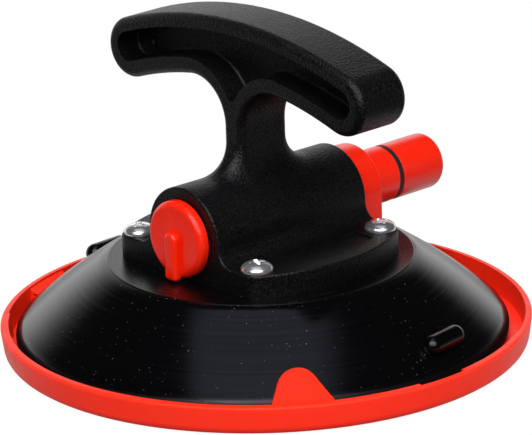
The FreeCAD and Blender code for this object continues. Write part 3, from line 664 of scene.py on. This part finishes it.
def cup_section():
    """Half section of the rubber: disc, bowed flank, lip, hollow and ribbed hub."""
    disc, edge = 47.9, 0.9       # the top disc, and the rounding of its edge
    points = [(radius, cup_top) for radius in (0, 14.0, 30.0, 44.0)]
    points += on_circle(edge, [math.radians(90 - 53 * step / 6) for step in range(7)],
                        (disc - edge, cup_top - edge))
    flank = Vector((75.2 - disc, 8.2 - cup_top))
    points += bowed_line(Vector((disc, cup_top)), flank, 0.8, 24)
    points += [(75.95, 7.0), (76.4, 6.0), (76.5, 5.4), (76.42, 4.6), (76.15, 3.6),
               (75.8, 2.75), (75.5, 2.36), (75.2, 2.3), (73.8, 2.3), (73.45, 2.4)]
    inner_lip = Vector((73.4, 2.45))
    points += bowed_line(inner_lip, Vector((42.0, hollow_top)) - inner_lip, 2.4, 16)
    rib = ((0.9, 0), (0.75, 0.55), (0.45, 0.95), (0, 1.0), (-0.45, 0.95), (-0.75, 0.55),
           (-0.9, 0))
    points += [(radius + offset, hollow_top - drop)
               for radius in (34.0, 26.0, 18.0) for offset, drop in rib]
    return points + [(15.9, hollow_top), (0, hollow_top)]


def capsule(length_over_ends, radius):
    """A round-ended bar along Y."""
    straight = length_over_ends / 2 - radius
    points = [(0, -length_over_ends / 2)]
    points += on_circle(radius, [math.radians(-90 + 90 * step / 8) for step in range(1, 9)],
                        (0.0, -straight))
    points += [(r, -z) for r, z in points[::-1]]
    skin = turned(points, 40)
    skin.transform(Matrix.Rotation(math.radians(-90), 4, "X"))
    return skin


def vacuum_cup():
    """Cup with its two release tabs, its port and the recess of the filter."""
    cup = solid("cup", turned(cup_section(), 256))
    tab_middle = Matrix.Translation((69.8, 0, 14.35))
    tab_length, tab_radius = 17.0, 3.2
    for direction in (-82.0, 92.0):
        place = Matrix.Rotation(math.radians(direction), 4, "Z") @ tab_middle
        combined(cup, solid("tab", capsule(tab_length, tab_radius), place), "UNION")
    for name, skin, x in (("recess", cylinder(8.0, 14.0, 17.5, 64), -6.8),
                          ("port", cylinder(1.5, 14.0, 30.0, 32), -17.0)):
        combined(cup, solid(name, skin, Matrix.Translation((x, 0, 0))), "DIFFERENCE")
    even_shading(cup, 34)
    finished(cup, "handle", "vacuum_cup", "cup_rubber")


# ---------------------------------------------------------------- handle housing
def flange_side(side):
    """Outline of the flange beside the barrel: two screw bosses and the bowed side."""
    boss, reach, inner, bow = 5.52, 31.52, 14.0, 54.896
    tangent = math.atan2(screw_y + bow_drop, screw_x)
    points = [(reach, inner)]
    points += on_circle(boss, [tangent * step / 12 for step in range(13)],
                        (screw_x, screw_y))
    points += on_circle(bow, [tangent + (math.pi - 2 * tangent) * step / 72
                              for step in range(1, 72)], (0.0, -bow_drop))
    points += on_circle(boss, [math.pi - tangent + tangent * step / 12 for step in range(13)],
                        (-screw_x, screw_y))
    points.append((-reach, inner))
    return [(x, y * side) for x, y in points]


def label_outline():
    """Bare panel on the flange, with one side along the bow."""
    left, right, back, bow, steps = -14.0, 19.0, -22.2, 49.676, 32
    xs = [left + (right - left) * step / steps for step in range(steps + 1)]
    return ([(x, bow_drop - math.sqrt(bow ** 2 - x ** 2)) for x in xs]
            + [(right, back), (left, back)])


def handle_housing():
    """The CAD moulding, with rounded flange edges, its screw holes, its bare label panel and
    a moulding mark, shaded so that its flats stay flat."""
    housing = welded_copy("housing", "handle_housing", 0.002)
    above = 37.0                 # clear of the flange
    for side in (1, -1):
        plate = solid("plate", prism(flange_side(side), cup_top + 0.1, flange_top + 0.02))
        combined(housing, bevelled(plate, 0.7, 4, 60), "UNION")
        for x in (-screw_x, screw_x):
            place = Matrix.Translation((x, side * screw_y, 0))
            combined(housing, solid("hole", cylinder(2.8, 28.0, above, 32), place),
                     "DIFFERENCE")
    panel = solid("panel", prism(label_outline(), flange_top - 0.5, above))
    combined(housing, bevelled(panel, 0.2, 2, 60), "DIFFERENCE")
    # round mark of an ejector pin in the grip's pocket
    across = Matrix.Translation((0, 43.7, 88.7)) @ Matrix.Rotation(math.radians(90), 4, "Y")
    combined(housing, solid("mark", cylinder(1.5, -4.0, -1.45, 40), across), "DIFFERENCE")
    even_shading(housing, 25)
    finished(housing, "handle", "handle_housing", "housing_plastic")


# ---------------------------------------------------------------- pump
def end_collar():
    """Arched cap with a spigot, bored for the plunger."""
    radius, back, front = 13.2, 31.5, 40.8
    draft = 12.8 / radius        # the front is this much smaller than the back
    low = cup_top + 1.2 - axis_height
    outline = [(low, radius), (0.0, radius)]
    outline += on_circle(radius, [math.radians(90 - 180 * step / 48) for step in range(1, 48)])
    outline += [(0.0, -radius), (low, -radius)]
    skin = prism([(-x, y) for x, y in outline], back, front)
    for vertex in skin.verts:
        if vertex.co.z > front - 0.8:
            vertex.co.y *= draft
            if vertex.co.x < 0:
                vertex.co.x *= draft
    collar = bevelled(solid("collar_cap", skin, along_pump), 0.8, 5, 60)
    combined(collar, solid("spigot", cylinder(11.2, 27.0, 31.8, 96), along_pump), "UNION")
    bore = turned([(0, 26.0), (8.95, 26.0), (8.95, 40.2), (9.6, 41.0), (0, 41.0)], 96)
    combined(collar, solid("bore", bore, along_pump), "DIFFERENCE")
    even_shading(collar, 30)
    finished(collar, "handle", "end_collar", "red_plastic")


def plunger():
    """Hollow plunger with its piston, its band groove and a rounded outer end."""
    radius, start, end = 8.9, 18.1, 73.0
    spring_bore, spring_end, narrow, narrow_end = 6.9, 48.0, 4.7, 70.0
    piston, piston_start, piston_end = 10.25, start + 4.2, 25.5
    groove, groove_start, groove_end = 8.2, 52.6, 54.5
    corners = [(0, narrow_end, 0), (narrow, narrow_end, 0.5), (narrow, spring_end, 0),
               (spring_bore, spring_end, 0.3), (spring_bore, start, 0),
               (radius, start, 0.2), (radius, piston_start, 0),
               (piston, piston_start, 0.2), (piston, piston_end, 0.2), (radius, piston_end, 0),
               (radius, groove_start, 0.15), (groove, groove_start, 0),
               (groove, groove_end, 0), (radius, groove_end, 0.15), (radius, end, 2.2),
               (0, end, 0)]
    body = solid("plunger_shell", turned(rounded_line(corners, 8), 128), along_pump)
    even_shading(body, 35)
    finished(body, "plunger", "plunger", "red_plastic")


def indicator_band():
    """Flat rubber ring in the plunger's groove."""
    inner, outer, start, end, rounding = 8.23, 8.8, 52.63, 54.47, 0.25
    section = rounded_line([(inner, start, 0), (outer, start, rounding),
                            (outer, end, rounding), (inner, end, 0)], 5)
    band = solid("band_ring", turned(section, 96, True), along_pump)
    even_shading(band, 35)
    finished(band, "plunger", "indicator_band", "seal_rubber")


# ---------------------------------------------------------------- release valve
def release_knob():
    """Disc with a rolled edge, and a round-topped finger rib from its middle to its edge."""
    back, front, radius = -31.9, -35.4, 12.0
    section = rounded_line([(0, back, 0), (radius, back, 0.2), (radius, front, 2.0),
                            (0, front, 0)], 8)
    knob = solid("knob_dial", turned(section, 128), along_pump)
    half, face, reach, middle = 2.6, front - 2.4, 12.6, 0.3
    outline = [(-reach, -half), (-reach, half), (middle, half)]
    outline += on_circle(half, [math.radians(90 - 180 * step / 24) for step in range(1, 24)],
                         (middle, 0.0))
    outline.append((middle, -half))
    rib = solid("rib", prism([(-x, y) for x, y in outline], face, front + 1.2), along_pump)
    combined(knob, bevelled(rib, 1.5, 6, 60), "UNION")
    side = 3.03                  # half the square socket that takes the valve plug
    square = [(-side, -side), (side, -side), (side, side), (-side, side)]
    socket = prism(square, back - 2.33, back + 1.0)
    combined(knob, solid("socket", socket, along_pump), "DIFFERENCE")
    even_shading(knob, 30)
    finished(knob, "release_valve", "release_knob", "red_plastic")


# ---------------------------------------------------------------- flange screws
def screw_skin():
    """Pan head, and its shank."""
    top = flange_top + 2.9
    return turned([(0, top), (1.7, top - 0.06), (3.1, top - 0.4), (3.95, top - 0.85),
                   (4.55, top - 1.35), (4.87, top - 1.85), (4.95, flange_top + 0.55),
                   (4.87, flange_top + 0.1), (4.75, flange_top), (2.5, flange_top),
                   (2.5, 21.4), (1.8, 20.5), (0, 20.5)], 64)


def cross_tool():
    """Tapered cross that is cut out of a screw's head."""
    top, deep = flange_top + 3.0, 2.2
    skin = bmesh.new()
    high, low = [], []
    for row, reach, half, z in ((high, 2.75, 0.62, top), (low, 1.1, 0.34, top - deep)):
        for quarter in range(4):
            turn = Matrix.Rotation(math.radians(90 * quarter), 3, "Z")
            for x, y in ((half, half), (reach, half * 0.8), (reach, -half * 0.8)):
                row.append(skin.verts.new(turn @ Vector((x, -y, z))))
        skin.faces.new(row)
    return ring_faces(skin, low, high)


def screws_in_corners():
    """Node tree that sets a screw in each corner of a rectangle, each at its own turn.
    Returns the tree, and the identifiers of its inputs."""
    tree = bpy.data.node_groups.new("screws_in_corners", "GeometryNodeTree")
    face = tree.interface
    face.new_socket("Geometry", in_out="OUTPUT", socket_type="NodeSocketGeometry")
    inputs = {}
    for name, kind in (("Screw", "Object"), ("Spacing X", "Float"), ("Spacing Y", "Float"),
                       ("Seed", "Int"), ("Finish", "Material")):
        inputs[name] = face.new_socket(name, in_out="INPUT",
                                       socket_type="NodeSocket" + kind).identifier
    given = add_node(tree, "NodeGroupInput").outputs
    corners = add_node(tree, "GeometryNodeMeshGrid",
                       {"Size X": given["Spacing X"], "Size Y": given["Spacing Y"],
                        "Vertices X": 2, "Vertices Y": 2})
    screw = add_node(tree, "GeometryNodeObjectInfo", {"Object": given["Screw"]})
    turn = add_node(tree, "FunctionNodeRandomValue",
                    {2: 0.0, 3: math.pi / 2, "Seed": given["Seed"]})
    standing = add_node(tree, "ShaderNodeCombineXYZ", {"Z": turn.outputs[1]})
    placed = add_node(tree, "GeometryNodeInstanceOnPoints",
                      {"Points": corners.outputs["Mesh"], "Instance": screw.outputs["Geometry"],
                       "Rotation": standing.outputs[0]})
    real = add_node(tree, "GeometryNodeRealizeInstances", {"Geometry": placed.outputs[0]})
    plated = add_node(tree, "GeometryNodeSetMaterial",
                      {"Geometry": real.outputs[0], "Material": given["Finish"]})
    add_node(tree, "NodeGroupOutput", {"Geometry": plated.outputs[0]})
    return tree, inputs


def flange_screws():
    """Four screws, from one pattern."""
    pattern = solid("screw_pattern", screw_skin())
    combined(pattern, solid("cross", cross_tool()), "DIFFERENCE")
    bevelled(pattern, 0.08, 2, 50)
    tree, inputs = screws_in_corners()
    screws = in_scene("pan_screws", bpy.data.meshes.new("pan_screws"))
    step = screws.modifiers.new("corners", "NODES")
    step.node_group = tree
    for name, value in (("Screw", pattern), ("Spacing X", 2 * screw_x * MM),
                        ("Spacing Y", 2 * screw_y * MM), ("Seed", 4),
                        ("Finish", finishes["screw_chrome"])):
        step[inputs[name]] = value
    settle(screws)
    bpy.data.objects.remove(pattern)
    even_shading(screws, 34)
    finished(screws, "handle", "flange_screws", "screw_chrome")


# ---------------------------------------------------------------- return spring
def closing_spring():
    """The plunger's spring, a welded copy of the CAD spring."""
    spring = welded_copy("coil_spring", "return_spring", 0.001)
    even_shading(spring, 50)
    finished(spring, "handle", "return_spring", "spring_steel")
    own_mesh(spring)


# ---------------------------------------------------------------- make it
camera()
studio()
pale_floor()
for name, place, aim_height, size, watts in (
        ("left", (-1.3, -0.5, 1.05), 0.04, 0.8, 8.5),
        ("front", (-0.6, -1.4, 0.6), 0.04, 0.8, 6.0),
        ("over", (-0.5, -0.55, 1.5), 0.02, 0.6, 21.0),
        ("right", (0.5, -1.3, 0.5), 0.03, 0.8, 3.0)):
    area_light(name, place, (0, 0, aim_height), size, watts)

finishes = {
    "housing_plastic": grained_abs_black(), "cup_rubber": satin_rubber_black(),
    "seal_rubber": nitrile_black(), "red_plastic": glossy_abs_red(),
    "cover_plastic": satin_polyethylene_red(), "inner_plastic": natural_acetal(),
    "filter_felt": pressed_felt(),
    "screw_chrome": metal("bright_chrome_plate", "#f2f3f4", "#fbfbfc", 0.24, (2, 2, 2), 0.92),
    "zinc_steel": metal("zinc_plated_steel", "#a9adb3", "#c3c6ca", 0.3, (1.2, 1.2, 1.2)),
    "brass": metal("turned_brass", "#b98f45", "#d1ab63", 0.25, (0.3, 6, 6)),
    "aluminium": metal("drawn_aluminium", "#bfc1c4", "#d2d4d6", 0.28, (12, 0.3, 0.3)),
    "spring_steel": metal("drawn_spring_steel", "#7f8184", "#9a9c9f", 0.3, (0.6, 0.6, 0.6)),
}
for make in (handle_housing, vacuum_cup, flange_screws, end_collar, plunger, indicator_band,
             release_knob, protective_cover, closing_spring):
    make()

# the CAD parts that stay get the finish that the record gives them
slot_of = {part["node"]: part["material_slot"] for part in frame["record"]["subparts"]}
for name, piece in nodes.items():
    piece.data.materials.clear()
    piece.data.materials.append(finishes[slot_of[name]])

bpy.context.scene.view_settings.view_transform = "Standard"
